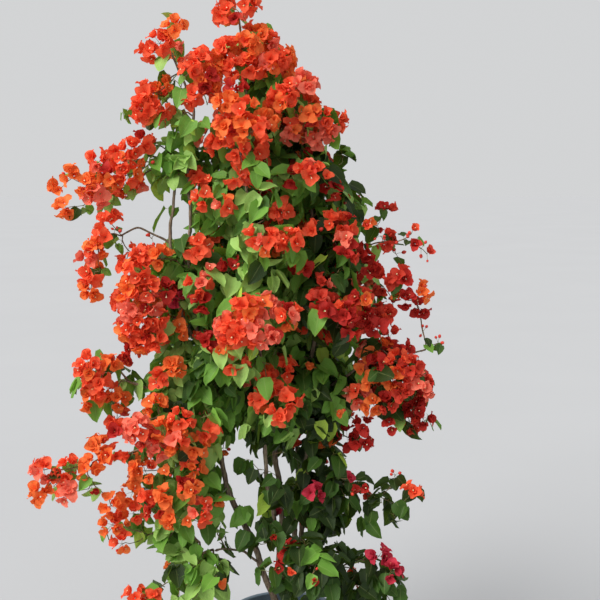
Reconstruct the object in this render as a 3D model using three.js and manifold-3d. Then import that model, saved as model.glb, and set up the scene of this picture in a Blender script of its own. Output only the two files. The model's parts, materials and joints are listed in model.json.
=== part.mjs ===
// A tall, slim bougainvillea bush in a plain round pot.
// Millimetres, +Z up, +X to the right and -Y towards the viewer.
// The origin is the centre of the pot's flat underside.

import * as THREE from 'three';
import { mergeVertices } from 'three/addons/utils/BufferGeometryUtils.js';
import Module from 'manifold-3d';

// The pot, a tapered bucket with a thicker rim
const POT_HEIGHT = 318;
const POT_FOOT_RADIUS = 138;
const POT_RIM_RADIUS = 185;
const POT_RIM_HEIGHT = 36;
const POT_RIM_STEP = 7;
const POT_WALL = 10;
const POT_FLOOR = 16;
const POT_EDGE = 3;
const POT_SEGMENTS = 30;

// The compost that fills it
const SOIL_BELOW_RIM = 40;
const SOIL_TOP = POT_HEIGHT - SOIL_BELOW_RIM;
const SOIL_SIDE_GAP = 0.6;

// The clear space left between two parts that rest on each other
const GAP = 0.3;

// The short rootstock, from its flat foot on the compost to the fork
const TRUNK_FOOT = SOIL_TOP + GAP;
const FORK_HEIGHT = 345;
const TRUNK_FOOT_RADIUS = 54;
const TRUNK_TOP_RADIUS = 36;
const TRUNK_LEAN = [5, -4];
const TRUNK_SIDES = 10;
const TRUNK_STEPS = 3;

// The stems stand in a ring on the fork
const STEM_RING_RADIUS = 23;
const STEM_FOOT = FORK_HEIGHT + GAP;
const STEM_UPRIGHT = 30;
const STEM_SIDES = 5;
const STEM_STEP_LENGTH = 200;
const BOUGH_SIDES = 5;
const BOUGH_STEP_LENGTH = 115;
const TAPER_POWER = 0.85;
const HALVINGS = 24;
const FEWEST_STEPS = 3;

// Foliage: how uneven a mass is, and how finely it is faceted
const UNEVENNESS = 0.3;
const WAVES = 5;
const SLOWEST_WAVE = 2.2;
const FASTEST_WAVE = 4.8;
const LARGE_REACH = 178;
const FINE_DETAIL = 2;
const COARSE_DETAIL = 1;
const CUT_GAP = 0.5;
const MERGE_DISTANCE = 1e-4;

// The repeatable stream of numbers that shapes the masses
const STREAM_FACTOR = 1664525;
const STREAM_STEP = 1013904223;
const STREAM_RANGE = 2 ** 32;

// Each stem: its azimuth on the fork, foot and tip radius, then the places it passes (right, back, up)
const STEMS = {
  stem_centre: {
    azimuth: 110, foot: 10.5, tip: 3,
    through: [[-16, 30, 700], [-52, 24, 1150], [-92, -8, 1640], [-120, 10, 2040], [-130, 20, 2185]],
  },
  stem_left: {
    azimuth: 190, foot: 10, tip: 3,
    through: [
      [-118, -42, 600], [-200, -58, 850], [-262, -55, 1200], [-285, -60, 1600], [-262, -68, 1880],
      [-295, -66, 2010], [-335, -60, 2085],
    ],
  },
  stem_front: {
    azimuth: 262, foot: 9, tip: 3,
    through: [[-30, -66, 640], [-62, -110, 930], [-68, -145, 1280], [-100, -135, 1580], [-124, -148, 1830]],
  },
  stem_right: {
    azimuth: 334, foot: 10, tip: 3,
    through: [[56, -14, 640], [74, 2, 980], [94, 16, 1390], [74, -8, 1670], [34, -48, 1905]],
  },
  stem_back: {
    azimuth: 46, foot: 9.5, tip: 3,
    through: [[40, 92, 680], [36, 185, 1030], [2, 232, 1450], [-34, 165, 1880]],
  },
};

// Each bough: the stem it leaves and at what height, its radii, the places it passes and the mass it carries
const BOUGHS = {
  bough_arm_left: {
    from: 'stem_left', height: 1200, foot: 7, tip: 4, carries: 'leaves_arm_left',
    through: [[-335, -66, 1380], [-330, -62, 1560], [-318, -45, 1750]],
  },
  bough_chain_left: {
    from: 'stem_left', height: 1420, foot: 5, tip: 2.5, carries: 'bloom_chain_left',
    through: [[-365, -40, 1530], [-460, -60, 1545], [-520, -85, 1500]],
  },
  bough_left_lower: {
    from: 'stem_left', height: 880, foot: 6, tip: 3, carries: 'bloom_left_lower',
    through: [[-320, -100, 1000], [-430, -115, 1085], [-535, -110, 1100]],
  },
  bough_base_left: {
    from: 'stem_left', height: 480, foot: 5, tip: 2.5, carries: 'leaves_base_left',
    through: [[-150, -75, 575], [-215, -110, 580], [-268, -120, 510]],
  },
  bough_right_edge: {
    from: 'stem_right', height: 960, foot: 5.5, tip: 2.5, carries: 'spray_right_edge',
    through: [[165, -20, 1085], [300, -50, 1150], [400, -50, 1172], [460, -44, 1180]],
  },
  bough_right_low: {
    from: 'stem_right', height: 640, foot: 5, tip: 2.5, carries: 'spray_right_low',
    through: [[120, -50, 750], [200, -62, 765], [290, -60, 720]],
  },
  bough_base_right: {
    from: 'stem_right', height: 430, foot: 4.5, tip: 2.5, carries: 'leaves_base_right',
    through: [[90, -50, 505], [160, -95, 520], [252, -100, 480]],
  },
  bough_back_right: {
    from: 'stem_back', height: 1190, foot: 6, tip: 3, carries: 'spray_back_right',
    through: [[100, 285, 1390], [190, 330, 1520], [290, 345, 1570]],
  },
};

const LEAF = 'leaf';
const BLOOM = 'bract';

// Each mass: what shows on it, its centre (right, back, up), its half sizes (wide, deep, high) along its
// own axes, and its roll, the degrees by which its right end is raised
const MASSES = {
  leaves_crown: [LEAF, [-72, 15, 1872], [128, 125, 132], 0],
  leaves_upper_left: [LEAF, [-172, 0, 1650], [128, 165, 150], 0],
  leaves_upper_right: [LEAF, [64, 25, 1672], [136, 175, 150], 0],
  leaves_middle_left: [LEAF, [-238, 0, 1388], [150, 170, 182], 0],
  leaves_middle_right: [LEAF, [52, 20, 1390], [165, 195, 190], 0],
  leaves_lower_left: [LEAF, [-252, -15, 1040], [162, 168, 205], 0],
  leaves_lower_right: [LEAF, [44, 20, 1035], [158, 190, 200], 0],

  bloom_tip_top: [BLOOM, [-130, 20, 2198], [72, 54, 62], 24],
  bloom_tip_left: [BLOOM, [-338, -60, 2088], [72, 50, 50], 42],
  bloom_crown_left: [BLOOM, [-240, -70, 1972], [66, 80, 90], 0],
  bloom_crown_top: [BLOOM, [-95, -5, 2042], [122, 108, 86], 0],
  bloom_crown_right: [BLOOM, [28, -50, 1922], [96, 92, 80], -20],
  bloom_crown_edge: [BLOOM, [107, -30, 1850], [78, 64, 70], -22],
  bloom_crown_front: [BLOOM, [-126, -150, 1835], [98, 82, 112], 0],

  bloom_left_high: [BLOOM, [-386, -52, 1902], [94, 66, 80], 32],
  leaves_arm_left: [LEAF, [-325, -42, 1764], [92, 66, 104], 0],
  bloom_arm_left: [BLOOM, [-522, -60, 1696], [178, 60, 78], 31],
  bloom_chain_left: [BLOOM, [-540, -90, 1462], [138, 48, 50], 63],
  bloom_left_middle: [BLOOM, [-387, -100, 1344], [108, 78, 162], 0],
  bloom_left_lower: [BLOOM, [-535, -110, 1092], [92, 72, 92], 20],
  bloom_left_under: [BLOOM, [-357, -165, 946], [162, 76, 104], 0],
  spray_left_low: [BLOOM, [-602, -128, 826], [174, 60, 68], 17],
  leaves_left_base: [LEAF, [-305, -112, 722], [136, 82, 138], 0],
  bloom_drop_left: [BLOOM, [-480, -140, 684], [92, 50, 96], 0],

  bloom_centre_high: [BLOOM, [-24, -190, 1504], [90, 80, 76], 0],
  bloom_centre: [BLOOM, [-60, -235, 1295], [115, 94, 88], 8],
  bloom_right_inner: [BLOOM, [140, -150, 1314], [92, 92, 108], 0],
  bloom_right_high: [BLOOM, [226, -40, 1528], [118, 72, 80], -28],
  spray_right_tip: [BLOOM, [382, -60, 1500], [78, 38, 40], -16],
  bloom_right_middle: [BLOOM, [318, -22, 1392], [120, 74, 82], -14],
  bloom_right_lower: [BLOOM, [307, -50, 1078], [134, 104, 150], 0],
  spray_right_edge: [BLOOM, [462, -44, 1180], [56, 26, 32], 25],

  leaves_right_base: [LEAF, [112, 0, 728], [102, 122, 164], 0],
  spray_right_low: [LEAF, [302, -60, 714], [128, 58, 90], -6],
  leaves_base_left: [LEAF, [-262, -120, 500], [120, 78, 118], 0],
  leaves_base_front: [LEAF, [74, -165, 540], [126, 88, 92], 0],
  leaves_base_right: [LEAF, [258, -100, 470], [108, 64, 100], 0],
  bloom_base_left: [BLOOM, [-414, -138, 424], [76, 52, 68], 10],

  bloom_back_top: [BLOOM, [-15, 150, 1900], [132, 110, 135], 0],
  leaves_back_upper: [LEAF, [70, 232, 1610], [180, 125, 170], 0],
  bloom_back_left: [BLOOM, [-160, 245, 1340], [165, 115, 190], 0],
  bloom_back_right: [BLOOM, [160, 255, 1275], [172, 125, 178], 0],
  leaves_back_low: [LEAF, [62, 226, 1020], [185, 118, 146], 0],
  spray_back_right: [BLOOM, [292, 345, 1572], [110, 72, 68], 14],
};

const COLOURS = {
  pot: { color: 0x4a5b66, roughness: 0.45, metalness: 0 },
  soil: { color: 0x3a2c22, roughness: 0.95, metalness: 0 },
  bark: { color: 0x6f5d4d, roughness: 0.85, metalness: 0 },
  leaf: { color: 0x3f7a2e, roughness: 0.6, metalness: 0 },
  bract: { color: 0xf0432a, roughness: 0.7, metalness: 0 },
};

const wasm = await Module();
wasm.setup();

/** Turns a closed geometry into a solid that can be cut. */
function toSolid(geometry) {
  const bare = geometry.clone();
  bare.deleteAttribute('normal');
  bare.deleteAttribute('uv');
  const merged = mergeVertices(bare, MERGE_DISTANCE);
  return new wasm.Manifold(new wasm.Mesh({
    numProp: 3,
    vertProperties: new Float32Array(merged.attributes.position.array),
    triVerts: new Uint32Array(merged.index.array),
  }));
}

/** Turns a solid back into a geometry. */
function toGeometry(solid) {
  const mesh = solid.getMesh();
  const geometry = new THREE.BufferGeometry();
  geometry.setAttribute('position', new THREE.BufferAttribute(mesh.vertProperties, 3));
  geometry.setIndex(new THREE.BufferAttribute(mesh.triVerts, 1));
  geometry.computeVertexNormals();
  return geometry;
}

/** The largest connected piece of a solid. */
function largestPiece(solid) {
  const pieces = solid.decompose();
  return pieces.reduce((best, piece) => (piece.volume() > best.volume() ? piece : best));
}

/** A repeatable stream of numbers from 0 to 1. */
function randomStream(seed) {
  let state = seed;
  return () => {
    state = (state * STREAM_FACTOR + STREAM_STEP) % STREAM_RANGE;
    return state / STREAM_RANGE;
  };
}

/** A closed, tapering limb along a smooth path. Its foot is cut level where levelFoot is set. */
function limb(path, radiusAt, sides, steps, levelFoot) {
  const frames = path.computeFrenetFrames(steps, false);
  const positions = [];
  const indices = [];
  for (let step = 0; step <= steps; step += 1) {
    const share = step / steps;
    const centre = path.getPointAt(share);
    const radius = radiusAt(share);
    for (let side = 0; side < sides; side += 1) {
      const angle = (2 * Math.PI * side) / sides;
      const point = centre.clone()
        .addScaledVector(frames.normals[step], radius * Math.cos(angle))
        .addScaledVector(frames.binormals[step], radius * Math.sin(angle));
      if (levelFoot && step === 0) point.z = centre.z;
      positions.push(point.x, point.y, point.z);
    }
  }
  const foot = positions.length / 3;
  const tip = foot + 1;
  positions.push(...path.getPointAt(0).toArray(), ...path.getPointAt(1).toArray());
  const lastRing = steps * sides;
  for (let side = 0; side < sides; side += 1) {
    const next = (side + 1) % sides;
    for (let step = 0; step < steps; step += 1) {
      const low = step * sides;
      const high = low + sides;
      indices.push(low + side, low + next, high + next);
      indices.push(low + side, high + next, high + side);
    }
    indices.push(foot, next, side);
    indices.push(tip, lastRing + side, lastRing + next);
  }
  const geometry = new THREE.BufferGeometry();
  geometry.setAttribute('position', new THREE.Float32BufferAttribute(positions, 3));
  geometry.setIndex(indices);
  geometry.computeVertexNormals();
  return geometry;
}

/** A smooth path through a list of places. */
function pathThrough(places) {
  return new THREE.CatmullRomCurve3(places.map((place) => new THREE.Vector3(...place)), false, 'centripetal');
}

/** A point on the stem's path at a height. */
function pointAtHeight(path, height) {
  let low = 0;
  let high = 1;
  for (let halving = 0; halving < HALVINGS; halving += 1) {
    const middle = (low + high) / 2;
    if (path.getPointAt(middle).z < height) low = middle;
    else high = middle;
  }
  return path.getPointAt(low);
}

/** A stem, bough or trunk with its exact solid and one that is a little fatter, which cuts the room for it. */
function grownLimb(path, foot, tip, sides, stepLength, levelFoot) {
  const steps = Math.max(FEWEST_STEPS, Math.round(path.getLength() / stepLength));
  const taper = (share) => foot + (tip - foot) * share ** TAPER_POWER;
  const fatter = (share) => taper(share) + CUT_GAP;
  return {
    path,
    solid: toSolid(limb(path, taper, sides, steps, levelFoot)),
    room: toSolid(limb(path, fatter, sides, steps, levelFoot)),
  };
}

/** An uneven closed lump, as far across as its half sizes say, with room around it when grow is set. */
function lump([, centre, half, roll], seed, grow) {
  const detail = Math.max(...half) > LARGE_REACH ? FINE_DETAIL : COARSE_DETAIL;
  const ball = new THREE.IcosahedronGeometry(1, detail);
  ball.deleteAttribute('normal');
  ball.deleteAttribute('uv');
  const geometry = mergeVertices(ball, MERGE_DISTANCE);
  const random = randomStream(seed);
  const waves = Array.from({ length: WAVES }, () => ({
    along: new THREE.Vector3(random() - 0.5, random() - 0.5, random() - 0.5).normalize(),
    rate: SLOWEST_WAVE + (FASTEST_WAVE - SLOWEST_WAVE) * random(),
    phase: 2 * Math.PI * random(),
  }));
  const position = geometry.attributes.position;
  const point = new THREE.Vector3();
  const points = [];
  for (let i = 0; i < position.count; i += 1) {
    point.fromBufferAttribute(position, i);
    const swell = waves.reduce((sum, w) => sum + Math.sin(w.rate * w.along.dot(point) + w.phase), 0);
    points.push(point.clone().multiplyScalar(1 + (UNEVENNESS * swell) / 2));
  }
  const box = new THREE.Box3().setFromPoints(points);
  const middle = box.getCenter(new THREE.Vector3());
  const reach = box.getSize(new THREE.Vector3()).multiplyScalar(0.5);
  const tilt = new THREE.Matrix4().makeRotationY(-THREE.MathUtils.degToRad(roll));
  points.forEach((p, i) => {
    p.sub(middle).divide(reach).multiply(new THREE.Vector3(...half));
    p.multiplyScalar(1 + grow / p.length());
    p.applyMatrix4(tilt).add(new THREE.Vector3(...centre));
    position.setXYZ(i, p.x, p.y, p.z);
  });
  return geometry;
}

/** The pot's outline, from the middle of its underside up the outside and down the inside. */
function potOutline() {
  const bandFoot = POT_HEIGHT - POT_RIM_HEIGHT;
  const slope = (POT_RIM_RADIUS - POT_RIM_STEP - POT_FOOT_RADIUS) / bandFoot;
  const outerAt = (height) => POT_FOOT_RADIUS + slope * height;
  const innerRim = POT_RIM_RADIUS - POT_RIM_STEP - POT_WALL;
  return [
    [0, 0],
    [POT_FOOT_RADIUS - POT_EDGE, 0],
    [POT_FOOT_RADIUS, POT_EDGE],
    [outerAt(bandFoot), bandFoot],
    [POT_RIM_RADIUS, bandFoot + POT_RIM_STEP],
    [POT_RIM_RADIUS, POT_HEIGHT - POT_EDGE],
    [POT_RIM_RADIUS - POT_EDGE, POT_HEIGHT],
    [innerRim, POT_HEIGHT],
    [innerRadiusAt(POT_FLOOR), POT_FLOOR],
    [0, POT_FLOOR],
  ];
}

/** The pot's inner radius at a height. */
function innerRadiusAt(height) {
  const floorRadius = POT_FOOT_RADIUS - POT_WALL;
  const rimRadius = POT_RIM_RADIUS - POT_RIM_STEP - POT_WALL;
  const share = (height - POT_FLOOR) / (POT_HEIGHT - POT_FLOOR);
  return floorRadius + (rimRadius - floorRadius) * share;
}

/** A solid of revolution about the upright axis. */
function turned(outline) {
  const lathe = new THREE.LatheGeometry(outline.map(([x, y]) => new THREE.Vector2(x, y)), POT_SEGMENTS);
  return toSolid(lathe.rotateX(Math.PI / 2));
}

/** The compost, a plug that fills the pot to just under the rim. */
function soilOutline() {
  const low = POT_FLOOR + GAP;
  return [
    [0, low],
    [innerRadiusAt(low) - SOIL_SIDE_GAP, low],
    [innerRadiusAt(SOIL_TOP) - SOIL_SIDE_GAP, SOIL_TOP],
    [0, SOIL_TOP],
  ];
}

/** The rootstock, flared at its foot and leaning a little. */
function rootstock() {
  const path = new THREE.LineCurve3(
    new THREE.Vector3(0, 0, TRUNK_FOOT),
    new THREE.Vector3(TRUNK_LEAN[0], TRUNK_LEAN[1], FORK_HEIGHT),
  );
  const flare = (share) => TRUNK_TOP_RADIUS + (TRUNK_FOOT_RADIUS - TRUNK_TOP_RADIUS) * (1 - share) ** 2;
  const geometry = limb(path, flare, TRUNK_SIDES, TRUNK_STEPS, true);
  const position = geometry.attributes.position;
  const topRing = TRUNK_STEPS * TRUNK_SIDES;
  for (let side = 0; side < TRUNK_SIDES; side += 1) position.setZ(topRing + side, FORK_HEIGHT);
  return toSolid(geometry);
}

/** The path of a stem, which rises upright from its place on the fork before it leans out. */
function stemPath({ azimuth, through }) {
  const angle = THREE.MathUtils.degToRad(azimuth);
  const x = TRUNK_LEAN[0] + STEM_RING_RADIUS * Math.cos(angle);
  const y = TRUNK_LEAN[1] + STEM_RING_RADIUS * Math.sin(angle);
  return pathThrough([[x, y, STEM_FOOT], [x, y, STEM_FOOT + STEM_UPRIGHT], ...through]);
}

/** Whether the boxes of two solids meet. */
function boxesMeet(a, b) {
  const one = a.boundingBox();
  const other = b.boundingBox();
  return one.min.every((low, axis) => low < other.max[axis] && other.min[axis] < one.max[axis]);
}

/** A solid less those of the others that come near it, as one piece. */
function cutRound(solid, others) {
  const near = others.filter((other) => boxesMeet(solid, other));
  return largestPiece(near.reduce((rest, other) => rest.subtract(other), solid));
}

const parts = {};

/** Keeps a finished solid under its node's name. */
function keep(name, solid, look) {
  parts[name] = { solid, look };
}

keep('pot', turned(potOutline()), 'pot');
keep('soil', turned(soilOutline()), 'soil');
keep('trunk', rootstock(), 'bark');

const stems = {};
for (const [name, stem] of Object.entries(STEMS)) {
  stems[name] = grownLimb(stemPath(stem), stem.foot, stem.tip, STEM_SIDES, STEM_STEP_LENGTH, true);
  keep(name, stems[name].solid, 'bark');
}
const stemRooms = Object.values(stems).map((stem) => stem.room);

const lumps = {};
Object.entries(MASSES).forEach(([name, mass], index) => {
  lumps[name] = {
    solid: toSolid(lump(mass, index + 1, 0)),
    room: toSolid(lump(mass, index + 1, CUT_GAP)),
  };
});

const boughRooms = [];
for (const [name, bough] of Object.entries(BOUGHS)) {
  const start = pointAtHeight(stems[bough.from].path, bough.height).toArray();
  const path = pathThrough([start, ...bough.through]);
  const grown = grownLimb(path, bough.foot, bough.tip, BOUGH_SIDES, BOUGH_STEP_LENGTH, false);
  keep(name, cutRound(grown.solid, [...stemRooms, lumps[bough.carries].room]), 'bark');
  boughRooms.push(grown.room);
}

const taken = [...stemRooms, ...boughRooms];
for (const [name, mass] of Object.entries(MASSES)) {
  keep(name, cutRound(lumps[name].solid, taken), mass[0]);
  taken.push(lumps[name].room);
}

const bush = new THREE.Group();
for (const [name, { solid, look }] of Object.entries(parts)) {
  const mesh = new THREE.Mesh(toGeometry(solid), new THREE.MeshStandardMaterial(COLOURS[look]));
  mesh.name = name;
  bush.add(mesh);
}

export default bush;
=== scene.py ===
"""A tall, slim bougainvillea bush in a slate-blue pot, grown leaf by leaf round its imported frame.

Metres, +Z up, +X to the right and -Y towards the viewer, as in the frame.
"""

import json
import math
from collections import namedtuple

import bpy
import numpy as np
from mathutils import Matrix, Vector
from mathutils.bvhtree import BVHTree

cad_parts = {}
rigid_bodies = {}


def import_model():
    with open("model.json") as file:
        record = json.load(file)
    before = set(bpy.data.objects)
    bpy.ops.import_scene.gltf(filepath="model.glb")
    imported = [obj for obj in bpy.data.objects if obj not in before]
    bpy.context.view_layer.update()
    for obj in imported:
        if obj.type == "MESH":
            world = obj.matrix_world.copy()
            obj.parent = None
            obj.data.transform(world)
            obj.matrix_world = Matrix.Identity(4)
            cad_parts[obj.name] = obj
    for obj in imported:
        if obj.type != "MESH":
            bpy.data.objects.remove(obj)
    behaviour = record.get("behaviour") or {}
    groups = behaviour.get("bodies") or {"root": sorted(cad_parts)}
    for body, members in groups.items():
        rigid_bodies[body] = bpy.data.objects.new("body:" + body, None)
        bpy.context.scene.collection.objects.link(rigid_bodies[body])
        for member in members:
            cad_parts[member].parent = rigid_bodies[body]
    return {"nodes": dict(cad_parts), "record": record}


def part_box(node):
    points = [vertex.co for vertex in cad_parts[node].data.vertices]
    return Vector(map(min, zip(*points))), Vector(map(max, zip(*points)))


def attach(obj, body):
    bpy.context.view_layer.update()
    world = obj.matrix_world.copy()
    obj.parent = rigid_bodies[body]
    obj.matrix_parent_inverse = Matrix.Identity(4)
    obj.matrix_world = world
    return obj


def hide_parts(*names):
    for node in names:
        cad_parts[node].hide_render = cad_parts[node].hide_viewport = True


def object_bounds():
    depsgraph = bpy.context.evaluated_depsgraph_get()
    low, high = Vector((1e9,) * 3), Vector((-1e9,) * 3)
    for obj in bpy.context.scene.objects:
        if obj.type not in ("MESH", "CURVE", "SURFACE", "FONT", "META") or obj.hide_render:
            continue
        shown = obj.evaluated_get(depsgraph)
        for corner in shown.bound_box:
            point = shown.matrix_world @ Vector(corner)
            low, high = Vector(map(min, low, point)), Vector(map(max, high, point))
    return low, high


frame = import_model()
CAD_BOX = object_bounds()

SEED = 20
rng = np.random.default_rng(SEED)

# The camera, at the height of the eye in front of the bush and looking a little down
CAMERA_PLACE = (0.048, -3.03, 1.70)
CAMERA_DOWN = math.atan(0.124)
CAMERA_LENS = 60.0
CAMERA_SENSOR = 36.0
PICTURE_SIDE = 600

# Small vector tools

UP = np.array([0.0, 0.0, 1.0])
TURN = 2 * np.pi
TINY = 1e-9


def unit(vectors):
    """The same directions with a length of one."""
    vectors = np.asarray(vectors, float)
    return vectors / np.maximum(np.linalg.norm(vectors, axis=-1, keepdims=True), TINY)


def across(directions, wanted):
    """The part of the wanted directions that is square to the given ones, as unit vectors."""
    directions = np.asarray(directions, float)
    wanted = np.asarray(wanted, float)
    return unit(wanted - directions * (wanted * directions).sum(-1, keepdims=True))


def leaning(pulls, *ways):
    """The direction that several ways give together, each with its own pull."""
    return unit(sum(pull * np.asarray(way) for pull, way in zip(pulls, ways)))


def any_direction():
    """A random unit vector."""
    return unit(rng.normal(size=3))


def any_angle(count=None):
    """A random angle, or several."""
    return rng.uniform(0, TURN, count)


def gap_to(places, place):
    """How far the nearest of some places lies from a place."""
    return np.linalg.norm(np.asarray(places) - place, axis=1).min()


def lengths_along(path):
    """The length of a path from its start to each of its points."""
    return np.concatenate([[0], np.cumsum(np.linalg.norm(np.diff(path, axis=0), axis=1))])


def headings_along(path):
    """The direction of a path at each of its points."""
    return unit(np.gradient(path, axis=0))


def points_along(path, lengths, places):
    """The points of a path at some lengths along it."""
    return np.stack([np.interp(places, lengths, path[:, axis]) for axis in range(3)], -1)


def ring_angles(sides):
    """The angles of the corners of a ring."""
    return TURN * np.arange(sides) / sides


def ramp(value, start, end):
    """0 before the start, 1 past the end and even between them."""
    return min(1.0, max(0.0, (value - start) / (end - start)))


# Meshes from arrays

def in_scene(name, data):
    """A new object in the scene."""
    thing = bpy.data.objects.new(name, data)
    bpy.context.scene.collection.objects.link(thing)
    return thing


def mesh_piece(name, vertices, triangles, material, slot, replaced=(), corner_uv=None):
    """A piece on the one body, from its vertices and triangles, with the CAD nodes that it replaces."""
    mesh = bpy.data.meshes.new(name)
    mesh.from_pydata(vertices, [], triangles)
    mesh.shade_smooth()
    if corner_uv is not None:
        layer = mesh.uv_layers.new(name="OFBake")
        layer.data.foreach_set("uv", np.asarray(corner_uv, np.float32).ravel())
    mesh.materials.append(material)
    piece = in_scene(name, mesh)
    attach(piece, "root")
    if replaced:
        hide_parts(*replaced)


class Batch:
    """Many small shapes that become one mesh."""

    def __init__(self):
        self.vertices = []
        self.triangles = []
        self.uvs = []
        self.count = 0

    def add(self, vertices, triangles, corner_uv=None):
        self.vertices.append(vertices)
        self.triangles.append(triangles + self.count)
        if corner_uv is not None:
            self.uvs.append(corner_uv)
        self.count += len(vertices)

    def piece(self, name, material, slot, replaced=()):
        corner_uv = np.concatenate(self.uvs) if self.uvs else None
        vertices = np.concatenate(self.vertices)
        triangles = np.concatenate(self.triangles)
        mesh_piece(name, vertices, triangles, material, slot, replaced, corner_uv)


def closed(rings, foot, top):
    """The vertices and triangles of rings of points that close in a point at either end."""
    count, sides = rings.shape[:2]
    last = (count - 1) * sides
    here = np.arange(last)
    after = np.where((here + 1) % sides, here + 1, here + 1 - sides)
    here_first, after_first = here[:sides], after[:sides]
    foot_index = np.full(sides, count * sides)
    triangles = np.concatenate([
        np.stack([here, after, after + sides], 1),
        np.stack([here, after + sides, here + sides], 1),
        np.stack([foot_index, after_first, here_first], 1),
        np.stack([foot_index + 1, last + here_first, last + after_first], 1),
    ])
    return np.concatenate([rings.reshape(-1, 3), [foot, top]]), triangles


def tube(path, radii, sides, relief=1.0):
    """A closed tube along a path. relief scales its radius at each ring and side."""
    tangents = headings_along(path)
    sideways = [across(tangents[0], any_direction())]
    for tangent in tangents[1:]:
        sideways.append(across(tangent, sideways[-1]))
    sideways = np.array(sideways)
    upright = np.cross(tangents, sideways)
    angles = ring_angles(sides)[:, None]
    spokes = np.cos(angles) * sideways[:, None] + np.sin(angles) * upright[:, None]
    reach = np.asarray(radii)[:, None] * relief * np.ones(sides)
    return closed(path[:, None] + spokes * reach[..., None], path[0], path[-1])


# Materials

class Shader:
    """A material's node tree, with short ways to add nodes to it."""

    def __init__(self, name):
        self.material = bpy.data.materials.new(name)
        self.material.use_nodes = True
        self.tree = self.material.node_tree
        self.principled = self.tree.nodes["Principled BSDF"]

    def add(self, kind, inputs=None, output=0, **settings):
        """An output of a new node with its settings and its inputs, each a value or another output."""
        node = self.tree.nodes.new(kind)
        for key, value in settings.items():
            setattr(node, key, value)
        for key, value in (inputs or {}).items():
            self.feed(node.inputs[key], value)
        return node.outputs[output]

    def feed(self, socket, value):
        if isinstance(value, bpy.types.NodeSocket):
            self.tree.links.new(value, socket)
        else:
            socket.default_value = value

    def place(self):
        """The place on the object, in metres."""
        return self.add("ShaderNodeTexCoord", output="Object")

    def sum(self, operation, *values):
        return self.add("ShaderNodeMath", dict(enumerate(values)), operation=operation)

    def blend(self, share, one, other):
        """A mix of two colours."""
        return self.add("ShaderNodeMix", {0: share, 6: one, 7: other}, output=2, data_type="RGBA")

    def range(self, value, low, high, to_low=0.0, to_high=1.0):
        """A value taken from one range to another."""
        return self.add("ShaderNodeMapRange", {0: value, 1: low, 2: high, 3: to_low, 4: to_high})

    def over(self, tint, top, value, low, high, most=1.0):
        """A colour with another laid over it where a value is high."""
        return self.blend(self.range(value, low, high, 0.0, most), tint, top)

    def noise(self, place, scale, detail=3.0, roughness=0.55):
        inputs = {"Vector": place, "Scale": scale, "Detail": detail, "Roughness": roughness}
        return self.add("ShaderNodeTexNoise", inputs, output="Fac")

    def stretched(self, place, scale):
        """Coordinates scaled along each axis."""
        return self.add("ShaderNodeMapping", {"Vector": place, "Scale": scale})

    def bump(self, height, strength, distance):
        return self.add("ShaderNodeBump", {"Height": height, "Strength": strength, "Distance": distance})

    def finish(self, tint, roughness, normal=None):
        """Sets the surface."""
        self.feed(self.principled.inputs["Base Color"], tint)
        self.feed(self.principled.inputs["Roughness"], roughness)
        if normal is not None:
            self.feed(self.principled.inputs["Normal"], normal)
        return self.material

    def shine_through(self, share, tint):
        """Lets a share of the light pass a thin blade."""
        thin = self.add("ShaderNodeBsdfTranslucent", {"Color": tint})
        mix = self.add("ShaderNodeMixShader", {0: share, 1: self.principled.outputs[0], 2: thin})
        self.tree.links.new(mix, self.tree.nodes["Material Output"].inputs["Surface"])


def colour(red, green, blue):
    """A linear colour from display values of 0 to 255."""
    def linear(value):
        value /= 255
        return value / 12.92 if value <= 0.04045 else ((value + 0.055) / 1.055) ** 2.4
    return (linear(red), linear(green), linear(blue), 1.0)


def scaled(tint, factor):
    """A lighter or darker version of a colour."""
    return tuple(min(1.0, channel * factor) for channel in tint[:3]) + (1.0,)


# Each blade's map lies on one of a square of tiles, and the tile deals out its shade
TILES = 4
VEIN_COLOUR = colour(190, 205, 130)
LIGHT_THROUGH_LEAF = colour(150, 190, 50)
BLADE_SHEEN = 0.22


class BladeShader(Shader):
    """A shader that knows where a point lies on its own leaf or bract."""

    def __init__(self, name):
        super().__init__(name)
        self.principled.inputs["Specular IOR Level"].default_value = BLADE_SHEEN
        self.on_map = self.add("ShaderNodeUVMap", uv_map="OFBake")
        grown = self.stretched(self.on_map, (TILES, TILES, 1))
        tile = self.add("ShaderNodeVectorMath", {0: grown}, operation="FLOOR")
        on_tile = self.add("ShaderNodeVectorMath", {0: grown}, operation="FRACTION")
        side, self.along, _ = self.add("ShaderNodeSeparateXYZ", {0: on_tile}).node.outputs
        self.off_rib = self.sum("ABSOLUTE", self.sum("SUBTRACT", side, 0.5))
        self.lot = self.add("ShaderNodeTexWhiteNoise", {"Vector": tile}, noise_dimensions="3D")

    def lines(self, rib_width, slope, count, thinness, depth):
        """The midrib, and side veins that slope away from it."""
        rib = self.range(self.off_rib, rib_width / 3, rib_width, 1.0, 0.0)
        slant = self.sum("MULTIPLY_ADD", self.off_rib, -slope, self.along)
        wave = self.sum("SINE", self.sum("MULTIPLY", slant, count))
        return self.sum("MAXIMUM", rib, self.range(wave, thinness, 1.0, 0.0, depth))


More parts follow.
